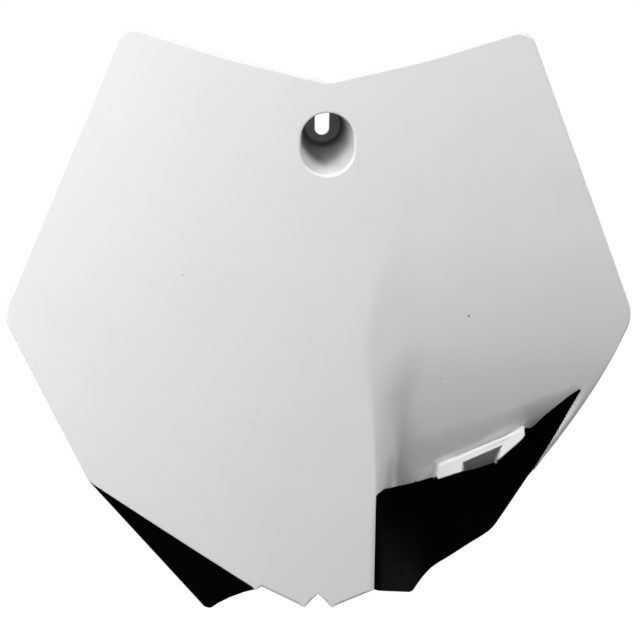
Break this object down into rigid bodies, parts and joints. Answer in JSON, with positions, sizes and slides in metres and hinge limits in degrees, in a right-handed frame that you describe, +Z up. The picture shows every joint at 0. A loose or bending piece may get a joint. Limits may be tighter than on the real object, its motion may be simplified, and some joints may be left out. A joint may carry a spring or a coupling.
{
  "type": "racing number board",
  "caption": "Crowned white number board with an inclined screw well, a hose scoop on its lower right and black lower wings.",
  "frame": {"origin": "middle of the screw slot, on the flat seat behind the well's floor", "axes": "the face looks along -Y, +Z is up, +X is to the right of someone who faces the board; +Y points back to the fork"},
  "size_m": [0.2852, 0.0552, 0.2684],
  "materials": {
    "white_shell": "moulded gloss white",
    "black_wing": "moulded satin black"
  },
  "bodies": {
    "root": {"number_face": "white_shell", "left_wing": "black_wing", "right_wing": "black_wing"}
  },
  "joints": []
}
